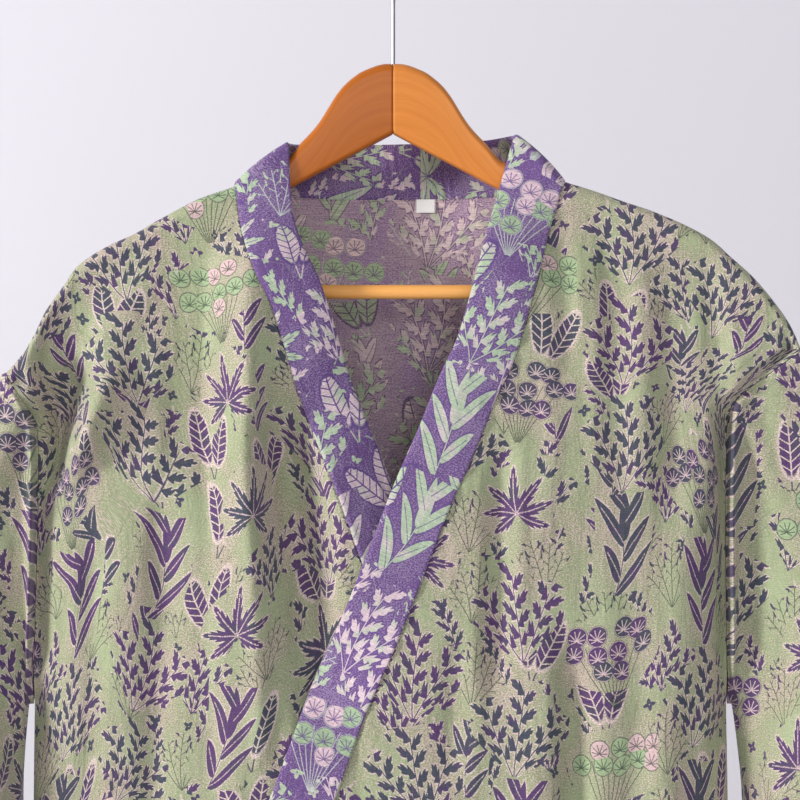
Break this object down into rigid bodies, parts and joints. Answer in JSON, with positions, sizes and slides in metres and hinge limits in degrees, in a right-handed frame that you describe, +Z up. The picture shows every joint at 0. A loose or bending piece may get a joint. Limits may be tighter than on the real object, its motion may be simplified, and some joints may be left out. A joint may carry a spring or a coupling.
{
  "type": "kimono robe on wooden hanger",
  "caption": "Open kimono robe with crossed fronts, a long band collar and short wide sleeves, hung on a shaped wooden hanger with a trouser bar.",
  "frame": {"origin": "inside top of the hook, where a rail or peg carries the hanger", "axes": "+Z up, +X to the right seen from the front, which is the wearer's left, and the robe's front faces -Y"},
  "size_m": [0.7274, 0.1342, 1.3299],
  "materials": {
    "green_jacquard": "soft cotton gauze jacquard, sage green with purple, navy and pink plant motifs, slightly crinkled",
    "purple_jacquard": "the same cloth with its purple face out, pale plant motifs",
    "varnished_wood": "orange-brown gloss varnish",
    "pale_wood": "lighter satin varnish",
    "hook_steel": "bright plated wire",
    "white_tape": "plain white woven tape, bare"
  },
  "bodies": {
    "root": {"hanger_arm_left": "varnished_wood", "hanger_arm_right": "varnished_wood", "hanger_bar": "pale_wood", "hanger_hook": "hook_steel", "back": "green_jacquard", "front_under": "green_jacquard", "front_over": "green_jacquard", "sleeve_right": "green_jacquard", "sleeve_left": "green_jacquard", "collar_under": "purple_jacquard", "collar_over": "purple_jacquard", "size_label": "white_tape"}
  },
  "joints": []
}
